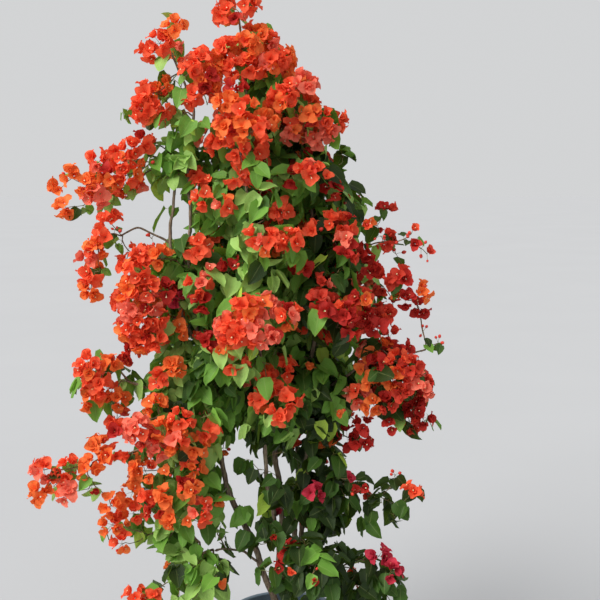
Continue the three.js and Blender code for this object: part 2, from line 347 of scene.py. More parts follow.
def leaf_material(name, tint):
    """A satin leaf with a pale midrib and side veins, a mottled blade and a paler rim."""
    shader = BladeShader(name)
    lines = shader.lines(rib_width=0.030, slope=1.7, count=44.0, thinness=0.86, depth=0.55)
    mottle = shader.noise(shader.on_map, 46.0)
    blade = shader.blend(shader.lot, scaled(tint, 0.78), scaled(tint, 1.26))
    blade = shader.over(blade, scaled(tint, 1.18), mottle, 0.35, 0.7)
    blade = shader.over(blade, scaled(tint, 1.5), shader.off_rib, 0.30, 0.50, most=0.30)
    pale = tuple(0.55 * channel + 0.45 * other for channel, other in zip(tint, VEIN_COLOUR))
    blade = shader.blend(shader.sum("MULTIPLY", lines, 0.42), blade, pale)
    height = shader.sum("SUBTRACT", shader.sum("MULTIPLY", mottle, 0.5), shader.sum("MULTIPLY", lines, 0.7))
    shader.shine_through(0.22, shader.blend(0.5, blade, LIGHT_THROUGH_LEAF))
    roughness = shader.range(mottle, 0.3, 0.7, 0.44, 0.60)
    return shader.finish(blade, roughness, shader.bump(height, strength=0.35, distance=0.0012))


def bract_material(name, tint, deep):
    """A papery bract with fine veins, crinkles, a deeper foot and a paler rim."""
    shader = BladeShader(name)
    lines = shader.lines(rib_width=0.026, slope=2.2, count=50.0, thinness=0.80, depth=0.6)
    crinkle = shader.noise(shader.on_map, 60.0, detail=4.0)
    blade = shader.blend(shader.lot, scaled(tint, 0.84), scaled(tint, 1.14))
    blade = shader.over(blade, deep, crinkle, 0.36, 0.68, most=0.55)
    blade = shader.blend(shader.range(shader.along, 0.0, 0.38, 0.55, 0.0), blade, deep)
    blade = shader.over(blade, scaled(tint, 1.3), shader.off_rib, 0.34, 0.50, most=0.35)
    blade = shader.blend(shader.sum("MULTIPLY", lines, 0.35), blade, deep)
    height = shader.sum("MULTIPLY_ADD", lines, 0.5, crinkle)
    shader.shine_through(0.32, blade)
    return shader.finish(blade, 0.58, shader.bump(height, strength=0.5, distance=0.0016))


def bark_material():
    """Grey-brown bark, in long flakes with darker furrows and pale specks."""
    shader = Shader("bark")
    place = shader.place()
    flakes = shader.noise(shader.stretched(place, (1.0, 1.0, 0.16)), 260.0, detail=5.0, roughness=0.6)
    broad = shader.noise(place, 22.0)
    specks = shader.noise(place, 520.0, detail=2.0)
    tint = shader.over(colour(74, 58, 46), colour(150, 130, 108), flakes, 0.36, 0.64)
    tint = shader.over(tint, colour(122, 116, 92), broad, 0.45, 0.72, most=0.5)
    tint = shader.over(tint, colour(186, 172, 148), specks, 0.66, 0.74, most=0.5)
    roughness = shader.range(flakes, 0.3, 0.7, 0.92, 0.74)
    return shader.finish(tint, roughness, shader.bump(flakes, strength=0.6, distance=0.0012))


def skin_material(name, one, other):
    """The smooth skin of shoots, stalks, buds and flower tubes."""
    shader = Shader(name)
    place = shader.place()
    fine = shader.noise(place, 420.0, detail=2.0)
    tint = shader.over(one, other, shader.noise(place, 30.0), 0.38, 0.62)
    tint = shader.over(tint, scaled(other, 1.4), fine, 0.5, 0.75, most=0.4)
    return shader.finish(tint, 0.62, shader.bump(fine, strength=0.3, distance=0.0004))


def pot_material():
    """Slate-blue moulded resin, streaked by rain and rubbed paler in places."""
    shader = Shader("pot_resin")
    place = shader.place()
    broad = shader.noise(place, 7.0, detail=4.0)
    streaks = shader.noise(shader.stretched(place, (1.0, 1.0, 0.12)), 46.0, detail=4.0, roughness=0.6)
    scuffs = shader.noise(shader.stretched(place, (1.0, 1.0, 5.0)), 34.0, detail=5.0, roughness=0.7)
    tint = shader.over(colour(66, 84, 98), colour(92, 112, 125), broad, 0.35, 0.68)
    tint = shader.over(tint, colour(126, 140, 146), streaks, 0.5, 0.72, most=0.45)
    tint = shader.over(tint, colour(160, 168, 168), scuffs, 0.66, 0.72, most=0.35)
    height = shader.sum("MULTIPLY_ADD", shader.noise(place, 900.0, detail=2.0), 0.3, scuffs)
    roughness = shader.range(streaks, 0.35, 0.7, 0.38, 0.62)
    return shader.finish(tint, roughness, shader.bump(height, strength=0.12, distance=0.0006))


def compost_material():
    """Moist dark compost with fibres and paler crumbs."""
    shader = Shader("compost")
    place = shader.place()
    grains = shader.noise(place, 190.0, detail=5.0, roughness=0.65)
    fibres = shader.noise(place, 420.0)
    tint = shader.over(colour(34, 24, 18), colour(84, 62, 46), grains, 0.34, 0.66)
    tint = shader.over(tint, colour(150, 122, 92), fibres, 0.66, 0.74, most=0.6)
    return shader.finish(tint, 0.95, shader.bump(grains, strength=0.8, distance=0.003))


def floor_material():
    """A plain pale floor, as light as the studio round it."""
    shader = Shader("studio_floor")
    cloud = shader.noise(shader.place(), 0.6, detail=2.0)
    tint = shader.over((0.427, 0.432, 0.442, 1), (0.437, 0.442, 0.452, 1), cloud, 0.3, 0.7)
    shader.principled.inputs["Specular IOR Level"].default_value = 0
    return shader.finish(tint, 0.9)


# The limbs, read from the frame

STEM_NAMES = ["stem_centre", "stem_left", "stem_front", "stem_right", "stem_back"]
BOUGH_NAMES = sorted(name for name in frame["nodes"] if name.startswith("bough_"))
RING_STEP = 0.007
STEM_SIDES = 14
BOUGH_SIDES = 10
CUT_SHARES = np.linspace(0.004, 0.996, 48)
FEWEST_MET = 3
FEWEST_STEPS = 4
STEM_EASING = 24
BOUGH_EASING = 10
COLLAR = 1.25
FOOT_SINK = 0.016

# Bark: the wobble of a limb, its swollen joints, and its ridges as their number round the limb,
# their height as a share of the radius, and the length in which they sway to and fro
WOBBLE = 0.011
WOBBLE_LENGTHS = (0.34, 0.15, 0.07)
JOINT_GAP = (0.045, 0.080)
JOINT_SWELLING = 0.16
JOINT_LENGTH = 0.0055
RIDGES = ((2, 0.07, 0.21), (3, 0.06, 0.13), (5, 0.05, 0.09), (7, 0.035, 0.05))
RIDGE_SWAY = 0.7
GRAIN = 0.022


def node_points(name):
    """The vertices of a node, as rows."""
    return np.array([vertex.co for vertex in frame["nodes"][name].data.vertices])


def cuts_across(name, along):
    """The middles and radii of a limb's node where cuts cross it, square to the direction along it."""
    points = node_points(name)
    edges = np.array([list(edge.vertices) for edge in frame["nodes"][name].data.edges])
    starts, ends = points[edges.T]
    start_heights, end_heights = starts @ along, ends @ along
    lowest, highest = (points @ along).min(), (points @ along).max()
    middles, radii = [], []
    for share in CUT_SHARES:
        level = lowest + (highest - lowest) * share
        met = (start_heights - level) * (end_heights - level) < 0
        if met.sum() < FEWEST_MET:
            continue
        part = ((level - start_heights[met]) / (end_heights[met] - start_heights[met]))[:, None]
        rim = starts[met] * (1 - part) + ends[met] * part
        middle = (rim.min(0) + rim.max(0)) / 2
        middles.append(middle)
        radii.append(np.linalg.norm(rim - middle, axis=1).mean())
    return np.array(middles), np.array(radii)


def main_direction(name):
    """The direction along which a node is longest."""
    points = node_points(name)
    return np.linalg.svd(points - points.mean(0), full_matrices=False)[2][0]


def evenly(path, values):
    """A path and the values along it, at even steps."""
    lengths = lengths_along(path)
    places = np.linspace(0, lengths[-1], max(FEWEST_STEPS, round(lengths[-1] / RING_STEP) + 1))
    return points_along(path, lengths, places), np.interp(places, lengths, values)


def nearest_on_stems(place):
    """The nearest point of the stems' centre lines, and how far it lies."""
    lines = np.concatenate([limbs[name][0] for name in STEM_NAMES])
    gaps = np.linalg.norm(lines - place, axis=1)
    return lines[gaps.argmin()], gaps.min()


def limb_path(name):
    """A limb's even centre line and radii, from its foot to its tip."""
    stem = name in STEM_NAMES
    along = UP if stem else main_direction(name)
    middles, radii = cuts_across(name, along)
    steps = np.gradient(middles, axis=0)
    radii = radii * np.sqrt(np.abs(steps @ along) / np.linalg.norm(steps, axis=1))
    if not stem:
        if nearest_on_stems(middles[-1])[1] < nearest_on_stems(middles[0])[1]:
            middles, radii = middles[::-1], radii[::-1]
        middles = np.concatenate([[nearest_on_stems(middles[0])[0]], middles])
        radii = np.concatenate([radii[:1] * COLLAR, radii])
    path, radii = evenly(middles, radii)
    for _ in range(STEM_EASING if stem else BOUGH_EASING):
        path[1:-1] = (path[:-2] + 2 * path[1:-1] + path[2:]) / 4
    return path, radii


def bark_tube(path, radii, sides):
    """A limb with the wobble, swollen joints, ridges and rough grain of its bark."""
    steps = np.arange(len(path)) * RING_STEP
    wobble = np.zeros(path.shape)
    for length in WOBBLE_LENGTHS:
        wobble += WOBBLE * length * np.sin(TURN * steps[:, None] / length + any_angle(3))
    relief = np.ones((len(path), sides))
    joint = rng.uniform(*JOINT_GAP)
    while joint < steps[-1]:
        relief += JOINT_SWELLING * np.exp(-((steps[:, None] - joint) / JOINT_LENGTH) ** 2)
        joint += rng.uniform(*JOINT_GAP)
    for count, height, length in RIDGES:
        start, turn = any_angle(2)
        sway = RIDGE_SWAY * np.sin(TURN * steps / length + start)[:, None]
        relief += height * np.sin(count * ring_angles(sides) + sway + turn)
    relief += rng.normal(0, GRAIN, relief.shape)
    return tube(path + wobble, radii, sides, relief)


# The rootstock: its buttresses and furrows as their number round it, their height as a share of its
# radius, how far they turn from foot to top and where they start, and the rings that dome its top
ROOTSTOCK_RINGS = 22
ROOTSTOCK_SIDES = 40
ROOTSTOCK_SINK = 0.004
ROOTSTOCK_WAVES = ((5, 0.060, 0.4, 0.6), (3, 0.045, -0.3, 2.0), (13, 0.035, 3.0, 0.0), (23, 0.020, -5.0, 1.0))
ROOTSTOCK_GRAIN = 0.010
DOME_RISES = (0.006, 0.010, 0.011)
DOME_SHARES = (0.86, 0.62, 0.35)


def rootstock():
    """The knobbly rootstock, flared over the compost and domed among the stems."""
    low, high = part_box("trunk")
    middles, radii = cuts_across("trunk", UP)
    heights = np.linspace(low.z - ROOTSTOCK_SINK, high.z, ROOTSTOCK_RINGS)
    reach = np.interp(heights, middles[:, 2], radii)
    heights = np.append(heights, high.z + np.array(DOME_RISES))
    reach = np.append(reach, reach[-1] * np.array(DOME_SHARES))
    path = points_along(middles, middles[:, 2], heights)
    path[:, 2] = heights
    share = np.linspace(0, 1, len(path))[:, None]
    relief = np.ones((len(path), ROOTSTOCK_SIDES))
    for count, height, turn, start in ROOTSTOCK_WAVES:
        relief += height * np.sin(count * ring_angles(ROOTSTOCK_SIDES) + turn * share + start)
    relief += rng.normal(0, ROOTSTOCK_GRAIN, relief.shape)
    return tube(path, reach, ROOTSTOCK_SIDES, relief)


limbs = {}
for limb_name in STEM_NAMES + BOUGH_NAMES:
    limbs[limb_name] = limb_path(limb_name)

bark = bark_material()
for limb_name, (limb_line, limb_radii) in limbs.items():
    sides = BOUGH_SIDES
    if limb_name in STEM_NAMES:
        sides = STEM_SIDES
        sunk = limb_line[0] - np.arange(FOOT_SINK, 0, -RING_STEP)[:, None] * UP
        limb_radii = np.concatenate([np.full(len(sunk), limb_radii[0]), limb_radii])
        limb_line = np.concatenate([sunk, limb_line])
    mesh_piece(f"bark_{limb_name}", *bark_tube(limb_line, limb_radii, sides), bark, "bark", [limb_name])
mesh_piece("bark_rootstock", *rootstock(), bark, "bark", ["trunk"])

# The masses of foliage, read from the frame

SUBPARTS = frame["record"]["subparts"]
LEAF_MASSES = sorted(part["node"] for part in SUBPARTS if part["material_slot"] == "leaf")
BLOOM_MASSES = sorted(part["node"] for part in SUBPARTS if part["material_slot"] == "bract")
THICKNESS_TRIES = 240


class Mass:
    """One closed mass of the frame, with its box and a test of how deep a place lies in it."""

    def __init__(self, name):
        faces = [list(face.vertices) for face in frame["nodes"][name].data.polygons]
        self.tree = BVHTree.FromPolygons(node_points(name).tolist(), faces)
        self.low, self.high = (np.array(corner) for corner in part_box(name))
        self.middle = (self.low + self.high) / 2

    def depth(self, place):
        """How deep a place lies under the surface, and which way is out."""
        near, normal, _, gap = self.tree.find_nearest(Vector(place))
        inside = (Vector(place) - near).dot(normal) < 0
        return (gap if inside else -gap), np.array(normal)

    def scatter(self, spacing, shallow, deep, tries):
        """Places between two depths in the mass, a spacing apart, each with its way out."""
        found, ways = [], []
        for place in rng.uniform(self.low, self.high, (tries, 3)):
            depth, away = self.depth(place)
            if not shallow <= depth <= deep:
                continue
            if found and gap_to(found, place) < spacing:
                continue
            found.append(place)
            ways.append(away)
        return zip(found, ways)

    def thickness(self):
        """The depth of its deepest part, nearly."""
        return max(self.depth(place)[0] for place in rng.uniform(self.low, self.high, (THICKNESS_TRIES, 3)))


masses = {name: Mass(name) for name in LEAF_MASSES + BLOOM_MASSES}

# What the camera sees

EYE = np.array(CAMERA_PLACE)
RIGHT = np.array([1.0, 0.0, 0.0])
AHEAD = np.array([0.0, math.cos(CAMERA_DOWN), -math.sin(CAMERA_DOWN)])
UPWARD = np.cross(RIGHT, AHEAD)
MIDDLE = PICTURE_SIDE / 2
FOCAL = PICTURE_SIDE * CAMERA_LENS / CAMERA_SENSOR


def shown_at(places):
    """How far across and down the picture places show, in pixels, and how far ahead they lie."""
    away = np.asarray(places) - EYE
    ahead = away @ AHEAD
    return MIDDLE + FOCAL * (away @ RIGHT) / ahead, MIDDLE - FOCAL * (away @ UPWARD) / ahead, ahead


def sight_line(across_px, down_px):
    """The direction from the camera through a pixel."""
    return unit(AHEAD + RIGHT * (across_px - MIDDLE) / FOCAL - UPWARD * (down_px - MIDDLE) / FOCAL)


def first_mass(line):
    """How far along a line of sight the first mass lies, the way out of it and its name, or None."""
    best = None
    for name, mass in masses.items():
        place, normal, _, distance = mass.tree.ray_cast(Vector(EYE), Vector(line))
        if place is not None and (best is None or distance < best[0]):
            best = distance, np.array(normal), name
    return best


def nearest_mass(across_px, down_px):
    """How far ahead the mass lies that shows nearest to a pixel, and its name."""
    across_all, down_all, ahead = shown_at([mass.middle for mass in masses.values()])
    index = np.hypot(across_all - across_px, down_all - down_px).argmin()
    return ahead[index], list(masses)[index]


# The heads of bloom that show in front, by tone and then part by part of the bush: pixels across
# and down, and blooms, where a head of no blooms is one of buds
Head = namedtuple("Head", "across_px down_px blooms tone")
HEADS = {
    "scarlet": [
        (226, 15, 4), (246, 5, 4), (160, 44, 5), (151, 52, 2), (176, 57, 1), (148, 95, 4), (145, 109, 6),
        (162, 109, 2), (168, 118, 1), (200, 62, 5), (190, 71, 3), (193, 97, 4), (208, 92, 3), (226, 50, 3),
        (268, 42, 2), (230, 68, 4), (248, 67, 5), (268, 64, 6), (280, 60, 3), (246, 110, 3), (228, 130, 5),
        (258, 129, 3), (218, 145, 3), (238, 150, 5), (290, 88, 3), (285, 102, 6), (322, 119, 4),
        (200, 180, 4), (212, 181, 1), (203, 198, 2), (238, 175, 4), (248, 187, 2), (226, 206, 2),
        (326, 178, 1), (343, 198, 1), (310, 172, 5), (283, 210, 5), (200, 250, 5), (98, 163, 4),
        (120, 160, 4), (131, 151, 3), (143, 144, 2), (128, 175, 4), (139, 180, 3), (110, 222, 3),
        (105, 237, 3), (90, 276, 3), (118, 231, 0), (152, 239, 0), (128, 250, 1), (125, 265, 2),
        (145, 258, 5), (140, 272, 6), (150, 290, 5), (140, 320, 6), (156, 318, 3), (144, 340, 3),
        (213, 235, 2), (268, 221, 2), (270, 243, 6), (291, 241, 4), (256, 240, 2), (314, 232, 2),
        (330, 224, 2), (345, 226, 4), (248, 312, 6), (234, 336, 5), (192, 338, 1), (235, 365, 3),
        (365, 226, 1), (380, 236, 0), (393, 246, 0), (396, 254, 0), (412, 232, 1), (408, 237, 0),
        (427, 254, 1), (421, 249, 0), (397, 362, 4), (89, 370, 6), (119, 361, 2), (117, 419, 3),
        (112, 455, 3), (68, 469, 4), (150, 496, 2), (133, 514, 2), (160, 382, 3), (181, 421, 4),
        (208, 431, 3), (136, 597, 4), (154, 597, 2), (266, 375, 4), (285, 370, 4), (262, 401, 5),
        (275, 392, 3), (288, 400, 4), (280, 416, 3), (412, 493, 2), (289, 576, 1), (312, 575, 1),
        (99, 384, 5), (115, 432, 2), (51, 483, 1),
    ],
    "orange": [
        (236, 19, 2), (174, 30, 4), (164, 88, 2), (206, 80, 6), (245, 48, 6), (225, 106, 5), (245, 132, 6),
        (310, 113, 3), (72, 178, 3), (61, 188, 2), (66, 208, 3), (147, 166, 1), (88, 185, 4), (112, 178, 3),
        (98, 249, 4), (91, 289, 2), (129, 289, 4), (128, 328, 4), (160, 259, 3), (228, 243, 1),
        (301, 224, 1), (261, 271, 1), (228, 347, 2), (179, 331, 3), (217, 352, 1), (371, 218, 1),
        (415, 245, 1), (420, 293, 2), (381, 349, 2), (392, 379, 3), (372, 381, 2), (362, 370, 1),
        (373, 404, 3), (108, 366, 3), (117, 400, 4), (94, 462, 2), (87, 470, 3), (133, 492, 5),
        (111, 506, 5), (173, 368, 4), (156, 405, 4), (162, 429, 3), (177, 440, 5), (223, 448, 1),
        (167, 474, 1), (166, 496, 3), (190, 490, 4), (172, 516, 3), (187, 520, 1), (216, 582, 1),
        (307, 372, 1), (92, 397, 4), (98, 448, 4), (41, 494, 4), (145, 471, 6), (112, 525, 3),
        (195, 468, 4),
    ],
    "coral": [
        (203, 138, 2), (305, 85, 4), (290, 130, 6), (330, 129, 3), (315, 141, 5), (98, 193, 5),
        (89, 262, 3), (151, 303, 4), (135, 306, 6), (200, 284, 4), (208, 272, 1), (346, 241, 3),
        (266, 306, 4), (287, 316, 4), (253, 334, 5), (268, 338, 4), (417, 384, 6), (357, 394, 4),
        (138, 431, 6), (68, 492, 4), (95, 486, 1), (122, 544, 2), (201, 511, 5), (159, 450, 4),
        (44, 470, 4),
    ],
    # coral heads on the shaded right, darkened as painted shade
    "shaded_coral": [
        (387, 278, 2), (402, 279, 3), (411, 369, 4), (386, 404, 2), (410, 422, 3), (322, 287, 3),
        (320, 301, 3), (361, 300, 4), (383, 316, 5), (389, 338, 2), (402, 391, 4), (148, 441, 2),
        (157, 511, 3),
    ],
    "red": [
        (235, 90, 3), (262, 160, 1), (292, 177, 2), (332, 188, 2), (166, 292, 3), (264, 196, 1),
        (274, 184, 1), (156, 337, 4), (130, 352, 4), (202, 301, 3), (232, 268, 2), (313, 218, 1),
        (303, 270, 2), (345, 256, 2), (207, 344, 4), (363, 256, 3), (366, 269, 4), (405, 299, 3),
        (418, 306, 2), (393, 305, 1), (326, 312, 2), (345, 313, 5), (362, 316, 3), (377, 327, 3),
        (350, 331, 2), (423, 332, 0), (438, 343, 0), (413, 410, 4), (423, 418, 2), (390, 423, 2),
        (347, 437, 4), (361, 440, 3), (365, 426, 2), (336, 412, 1), (381, 364, 2), (401, 349, 2),
        (178, 484, 1), (351, 493, 1), (367, 487, 1), (395, 475, 0), (273, 570, 1), (274, 535, 1),
    ],
    "crimson": [
        (179, 297, 2), (217, 500, 1), (313, 494, 2), (346, 479, 1), (379, 556, 3), (390, 573, 3),
        (275, 515, 1),
    ],
}
FRONT_HEADS = [Head(*row, tone) for tone, rows in HEADS.items() for row in rows]

# Where light shows through the bush: pixels across and down, and the radius
Opening = namedtuple("Opening", "across_px down_px radius_px")
OPENINGS = [Opening(*row) for row in [
    (180, 45, 8), (215, 30, 7), (309, 100, 5), (220, 116, 4), (165, 74, 7), (178, 68, 6), (152, 70, 6),
    (182, 104, 6), (120, 130, 9),
    (178, 150, 6), (338, 150, 6), (350, 165, 8), (325, 186, 4), (326, 204, 4), (360, 178, 9), (374, 196, 9),
    (150, 198, 8), (158, 210, 8), (170, 192, 8), (172, 203, 8), (182, 204, 7), (187, 216, 6), (165, 210, 7),
    (152, 212, 7), (150, 222, 7), (160, 228, 7), (168, 224, 7), (178, 228, 7), (192, 236, 5),
    (372, 212, 8), (386, 222, 7), (398, 206, 9), (408, 216, 8), (392, 258, 4), (396, 268, 6), (410, 262, 8),
    (345, 294, 4), (432, 300, 8), (395, 312, 6), (420, 322, 8), (404, 326, 6), (412, 330, 8), (404, 340, 5),
    (328, 385, 5), (342, 396, 5), (352, 424, 5), (303, 434, 7), (350, 460, 7), (327, 462, 7), (372, 470, 12),
    (136, 404, 5), (104, 411, 5), (128, 412, 7), (103, 428, 12), (124, 447, 8), (80, 450, 7), (122, 478, 8),
    (283, 471, 9), (243, 455, 6), (243, 476, 7), (252, 500, 9), (228, 505, 8), (232, 530, 12), (212, 545, 12),
    (196, 530, 8), (300, 530, 9), (282, 548, 7), (264, 552, 7), (365, 538, 10), (347, 570, 8), (135, 555, 14),
    (162, 562, 11), (170, 585, 7), (148, 575, 8),
]]


def in_an_opening(place):
    """Whether a place shows in one of the openings."""
    across_px, down_px, _ = shown_at(place)
    return any(
        math.hypot(gap.across_px - across_px, gap.down_px - down_px) < gap.radius_px for gap in OPENINGS
    )


# How each mass grows: the gap between its heads and their blooms, the share of them that stays in
# front beside the heads of the table, and the gap and size of its leaves
Habit = namedtuple("Habit", "head_gap blooms front_share leaf_gap leaf_size")
LEAFY = Habit(0, (1, 3), 0, 0.036, 1.0)
FLOWERING = Habit(0.044, (3, 6), 0.15, 0.056, 1.0)
FULL = Habit(0.044, (3, 6), 0.42, 0.085, 0.62)
THIN = Habit(0.044, (3, 5), 0.15, 0.085, 0.62)
FULL_MASSES = ["crown_top", "crown_left", "crown_front", "crown_right", "left_high", "left_middle", "centre"]
THIN_MASSES = ["arm_left", "tip_left", "tip_top"]
HABITS = {
    **{f"bloom_{place}": FULL for place in FULL_MASSES},
    **{f"bloom_{place}": THIN for place in THIN_MASSES},
    "spray_left_low": THIN._replace(blooms=(2, 5)),
    "bloom_chain_left": THIN._replace(head_gap=0.036, blooms=(2, 4)),
    "bloom_drop_left": THIN._replace(head_gap=0.052, blooms=(1, 3)),
    "bloom_right_high": THIN._replace(leaf_gap=0.070),
    "bloom_right_middle": THIN._replace(head_gap=0.055, blooms=(2, 3), front_share=0),
    "spray_back_right": THIN._replace(blooms=(1, 3)),
    "spray_right_edge": THIN._replace(blooms=(0, 1), leaf_size=0.50),
    "spray_right_tip": THIN._replace(blooms=(0, 1), leaf_size=0.50),
    "spray_right_low": THIN._replace(head_gap=0.060, blooms=(0, 2), leaf_gap=0.058, leaf_size=0.85),
}
HEAD_SINK = 0.010
LEAFY_HEAD_RISE = 0.030
HEAD_PULLS = (0.5, 0.7, 0.2)
HEAD_TRIES = 1500
LEAF_TRIES = 4000

# How deep under the surface of a mass tips lie: from the first depth, or from a share of the mass's
# thickness where that is less, down to the second
HEAD_DEPTHS = (0.020, 0.052)
HEAD_DEPTH_SHARE = 0.42
THINNEST_HEAD_LAYER = 0.012
HEAD_CLEARANCE = 0.8
LEAF_DEPTHS = (0.012, 0.075)
LEAF_DEPTH_SHARE = 0.40
TIP_MARGIN = np.array([0.030, 0.030, 0.008])
LOWEST_TIP = np.array(CAD_BOX[0]) + TIP_MARGIN
HIGHEST_TIP = np.array(CAD_BOX[1]) - TIP_MARGIN
FRONT_LAYER = 0.07
SCATTERED_SHARE = 0.13

# Leaves on short shoots straight from the stems
STEM_LEAF_HEIGHTS = (0.56, 2.03)
STEM_LEAF_STEP = 0.021
STEM_LEAF_REACH = (0.02, 0.09)
STEM_LEAF_PULL = 0.9
STEM_LEAF_SPREAD = (1, 1, 0.3)

# A place that a shoot grows to. blooms is None where it bears leaves alone
Tip = namedtuple("Tip", "place way blooms tone leaf_size")
tips = []


def add_tip(place, way, blooms=None, tone=None, leaf_size=1.0):
    tips.append(Tip(np.clip(place, LOWEST_TIP, HIGHEST_TIP), way, blooms, tone, leaf_size))


def habit_of(mass_name):
    return HABITS.get(mass_name, FLOWERING if mass_name in BLOOM_MASSES else LEAFY)


def in_front(place):
    """Whether a place lies in the layer that the camera sees first."""
    distance = np.linalg.norm(place - EYE)
    first = first_mass((place - EYE) / distance)
    return first is None or distance < first[0] + FRONT_LAYER


def add_front_heads():
    for head in FRONT_HEADS:
        line = sight_line(head.across_px, head.down_px)
        first = first_mass(line)
        if first is None:
            ahead, mass_name = nearest_mass(head.across_px, head.down_px)
            first = ahead / (line @ AHEAD), -line, mass_name
        distance, way_out, mass_name = first
        sink = HEAD_SINK if mass_name in BLOOM_MASSES else -LEAFY_HEAD_RISE
        place = EYE + line * (distance + sink)
        way = leaning(HEAD_PULLS, way_out, -line, UP)
        add_tip(place, way, head.blooms, head.tone, habit_of(mass_name).leaf_size)


def fill_mass(name):
    """Adds the tips that a mass bears beside the heads of the table."""
    mass, habit = masses[name], habit_of(name)
    thick = mass.thickness()
    flowering = name in BLOOM_MASSES
    if flowering:
        shallow = min(HEAD_DEPTHS[0], HEAD_DEPTH_SHARE * thick)
        deep = max(HEAD_DEPTHS[1], shallow + THINNEST_HEAD_LAYER)
        for place, way in mass.scatter(habit.head_gap, shallow, deep, HEAD_TRIES):
            clear = gap_to(head_places, place) > HEAD_CLEARANCE * habit.head_gap
            if clear and not in_an_opening(place):
                if not in_front(place) or rng.random() < habit.front_share:
                    add_tip(place, way, rng.integers(*habit.blooms, endpoint=True))
    shallow = min(LEAF_DEPTHS[0], LEAF_DEPTH_SHARE * thick)
    for place, way in mass.scatter(habit.leaf_gap, shallow, LEAF_DEPTHS[1], LEAF_TRIES):
        if in_an_opening(place):
            continue
        if not flowering and rng.random() < SCATTERED_SHARE and not in_front(place):
            add_tip(place, way, rng.integers(*habit.blooms, endpoint=True))
        else:
            add_tip(place, way, leaf_size=habit.leaf_size)


def add_stem_leaves():
    centres = np.concatenate([limbs[name][0] for name in STEM_NAMES])
    lowest, highest = STEM_LEAF_HEIGHTS
    for name in STEM_NAMES:
        for place in limbs[name][0][:: round(STEM_LEAF_STEP / RING_STEP)]:
            if not lowest < place[2] < highest:
                continue
            level = np.abs(centres[:, 2] - place[2]) < RING_STEP
            outward = unit(place - centres[level].mean(0))
            way = unit(STEM_LEAF_PULL * outward + any_direction() * STEM_LEAF_SPREAD)
            loose = place + way * rng.uniform(*STEM_LEAF_REACH)
            if not in_an_opening(loose):
                add_tip(loose, way)


add_front_heads()
head_places = np.array([tip.place for tip in tips])
for one_mass in masses:
    fill_mass(one_mass)
add_stem_leaves()

# Growth: each tip is reached from the nearest wood that already points its way

MOST_WOOD = 60000
BEARING_RINGS = slice(4, None, 3)
TURNING_COST = 0.45
CROWDED = 0.012
CROWDED_COST = 0.03
SHOOT_STEP = 0.018
FEWEST_SHOOT_POINTS = 3
SHOOT_WANDER = 0.0012
LEAVE_PULLS = (0.55, 0.75, 0.25)
ARRIVE_PULLS = (0.9, 0.45)
ARRIVE_RISE = (-0.45, 0.25)
BLOOM_LOAD = 0.5
THINNEST = 0.00055
THICKENING = 0.00042
THICKENING_POWER = 0.52
OLD_WOOD = 0.00135
OLD_WOOD_SIDES = 5
YOUNG_WOOD_SIDES = 4


class Wood:
    """Every place that a shoot can leave from, with its direction and what grew it."""

    def __init__(self, room):
        self.place = np.zeros((room, 3))
        self.direction = np.zeros((room, 3))
        self.parent = np.full(room, -1)
        self.load = np.zeros(room)
        self.count = 0

    def add(self, place, direction, parent):
        index = self.count
        self.place[index], self.direction[index], self.parent[index] = place, direction, parent
        self.count += 1
        return index

    def best_start(self, target):
        """The place from which a shoot to the target is short and bends little."""
        gaps = target - self.place[: self.count]
        lengths = np.linalg.norm(gaps, axis=1)
        agreement = (gaps * self.direction[: self.count]).sum(1) / np.maximum(lengths, TINY)
        costs = lengths * (1 + TURNING_COST * (1 - agreement)) + CROWDED_COST * (lengths < CROWDED)
        return int(costs.argmin())


wood = Wood(MOST_WOOD)
for limb_line, _ in limbs.values():
    for limb_place, tangent in zip(limb_line[BEARING_RINGS], headings_along(limb_line)[BEARING_RINGS]):
        wood.add(limb_place, tangent, -1)
limb_places = wood.place[: wood.count]
tips.sort(key=lambda tip: gap_to(limb_places, tip.place))


def grow_shoot(tip):
    """A shoot that leaves its wood along it, bends to its tip and arrives there facing out."""
    start = wood.best_start(tip.place)
    origin = wood.place[start]
    span = np.linalg.norm(tip.place - origin)
    heading = unit(tip.place - origin)
    leave = span * leaning(LEAVE_PULLS, wood.direction[start], heading, any_direction())
    rise = rng.uniform(*ARRIVE_RISE)
    arrive = span * leaning((*ARRIVE_PULLS, rise), heading, tip.way, UP)
    count = max(FEWEST_SHOOT_POINTS, math.ceil(span / SHOOT_STEP) + 1)
    share = np.linspace(0, 1, count)[:, None]
    line = ((2 * share**3 - 3 * share**2 + 1) * origin + (share**3 - 2 * share**2 + share) * leave
            + (3 * share**2 - 2 * share**3) * tip.place + (share**3 - share**2) * arrive)
    line[1:-1] += rng.normal(0, SHOOT_WANDER, (count - 2, 3))
    headings = headings_along(line)
    indices = [start]
    for place, way in zip(line[1:], headings[1:]):
        indices.append(wood.add(place, way, indices[-1]))
    wood.load[indices[-1]] = 1 + BLOOM_LOAD * (tip.blooms or 0)
    return tip, line, headings, indices


shoots = [grow_shoot(tip) for tip in tips]
for index in range(wood.count - 1, len(limb_places) - 1, -1):
    wood.load[wood.parent[index]] += wood.load[index]
thicknesses = THINNEST + THICKENING * wood.load**THICKENING_POWER

old_wood, young_wood = Batch(), Batch()
for _, line, _, indices in shoots:
    radii = thicknesses[indices]
    radii[0] = radii[1]
    if radii.mean() > OLD_WOOD:
        old_wood.add(*tube(line, radii, OLD_WOOD_SIDES))
    else:
        young_wood.add(*tube(line, radii, YOUNG_WOOD_SIDES))

# Blades: one outline for leaves and one for bracts, each bent in several ways

